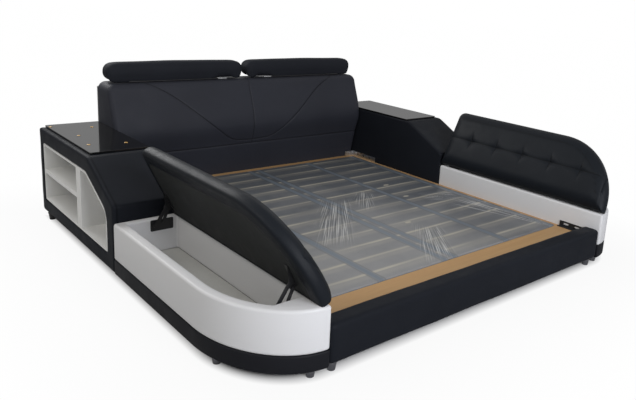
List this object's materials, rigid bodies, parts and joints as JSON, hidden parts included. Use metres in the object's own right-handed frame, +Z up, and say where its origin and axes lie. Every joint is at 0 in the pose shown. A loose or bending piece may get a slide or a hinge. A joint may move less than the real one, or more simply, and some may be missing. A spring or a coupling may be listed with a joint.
{
  "type": "bed with storage headboard",
  "caption": "Low upholstered double bed with padded headboard, hinged headrests, bedside units with open shelves and side storage boxes under swinging tufted lids.",
  "frame": {"origin": "on the floor under the middle of the bed's bounding box", "axes": "+X to the right for someone who stands at the foot and looks at the headboard, +Y towards the headboard, +Z up"},
  "size_m": [2.48, 2.28, 0.8836],
  "materials": {
    "black_leather": "satin",
    "white_leather": "satin",
    "white_board": "satin",
    "dark_lining": "matte",
    "black_glass": "gloss",
    "black_steel": "satin",
    "bright_steel": "satin",
    "pine": "matte",
    "grey_steel": "satin"
  },
  "bodies": {
    "root": {"headboard_pad": "black_leather", "headboard_back_panel": "dark_lining", "foot_rail": "black_leather", "foot_timber_rail": "pine", "head_timber_rail": "pine", "left_plinth": "black_leather", "left_box_wall": "white_leather", "left_box_floor": "white_board", "left_unit_frame": "black_leather", "left_bookcase": "white_board", "left_unit_cover": "black_leather", "left_unit_inner_panel": "black_leather", "left_unit_back_panel": "dark_lining", "left_glass_top": "black_glass", "left_headrest_bracket_inner": "bright_steel", "left_headrest_bracket_outer": "bright_steel", "left_slat_frame": "grey_steel", "left_timber_rail": "pine", "left_head_bracket": "bright_steel", "left_foot_bracket": "black_steel", "left_front_plate": "black_steel", "left_rear_plate": "black_steel", "right_plinth": "black_leather", "right_box_wall": "white_leather", "right_box_floor": "white_board", "right_unit_frame": "black_leather", "right_bookcase": "white_board", "right_unit_cover": "black_leather", "right_unit_inner_panel": "black_leather", "right_unit_back_panel": "dark_lining", "right_glass_top": "black_glass", "right_headrest_bracket_inner": "bright_steel", "right_headrest_bracket_outer": "bright_steel", "right_slat_frame": "grey_steel", "right_timber_rail": "pine", "right_head_bracket": "bright_steel", "right_foot_bracket": "black_steel", "right_front_plate": "black_steel", "right_rear_plate": "black_steel"},
    "left_lid": {"left_lid_board": "dark_lining", "left_lid_cushion": "black_leather", "left_front_lid_bracket": "black_steel", "left_rear_lid_bracket": "black_steel"},
    "left_arms": {"left_front_arm": "black_steel", "left_rear_arm": "black_steel"},
    "left_links": {"left_front_link": "black_steel", "left_rear_link": "black_steel"},
    "left_headrest": {"left_headrest_cushion": "black_leather", "left_headrest_bar": "black_steel"},
    "right_lid": {"right_lid_board": "dark_lining", "right_lid_cushion": "black_leather", "right_front_lid_bracket": "black_steel", "right_rear_lid_bracket": "black_steel"},
    "right_arms": {"right_front_arm": "black_steel", "right_rear_arm": "black_steel"},
    "right_links": {"right_front_link": "black_steel", "right_rear_link": "black_steel"},
    "right_headrest": {"right_headrest_cushion": "black_leather", "right_headrest_bar": "black_steel"}
  },
  "joints": [
    {"name": "left_arm_pivot", "type": "hinge", "parent": "root", "child": "left_arms", "pos_m": [-1.062, -0.55, 0.25], "axis": [0, 1, 0], "range_deg": [0, 49.91]},
    {"name": "left_lid_pivot", "type": "hinge", "parent": "left_arms", "child": "left_lid", "pos_m": [-1.01, -0.55, 0.32858], "axis": [0, -1, 0], "range_deg": [0, 113.89]},
    {"name": "left_link_pivot", "type": "hinge", "parent": "root", "child": "left_links", "pos_m": [-1.02, -0.55, 0.262], "axis": [0, 1, 0], "range_deg": [0, 58.56]},
    {"name": "left_headrest_tilt", "type": "hinge", "parent": "root", "child": "left_headrest", "pos_m": [-0.455, 1.013, 0.7745], "axis": [1, 0, 0], "range_deg": [0, 70]},
    {"name": "right_arm_pivot", "type": "hinge", "parent": "root", "child": "right_arms", "pos_m": [1.062, -0.55, 0.25], "axis": [0, -1, 0], "range_deg": [0, 49.91]},
    {"name": "right_lid_pivot", "type": "hinge", "parent": "right_arms", "child": "right_lid", "pos_m": [1.01, -0.55, 0.32858], "axis": [0, 1, 0], "range_deg": [0, 113.89]},
    {"name": "right_link_pivot", "type": "hinge", "parent": "root", "child": "right_links", "pos_m": [1.02, -0.55, 0.262], "axis": [0, -1, 0], "range_deg": [0, 58.56]},
    {"name": "right_headrest_tilt", "type": "hinge", "parent": "root", "child": "right_headrest", "pos_m": [0.455, 1.013, 0.7745], "axis": [1, 0, 0], "range_deg": [0, 70]}
  ],
  "couplings": [
    {"joint": "left_arm_pivot", "follows": "left_lid_pivot", "ratio": 0.43808},
    {"joint": "left_link_pivot", "follows": "left_lid_pivot", "ratio": 0.51395},
    {"joint": "right_arm_pivot", "follows": "right_lid_pivot", "ratio": 0.43808},
    {"joint": "right_link_pivot", "follows": "right_lid_pivot", "ratio": 0.51395}
  ]
}
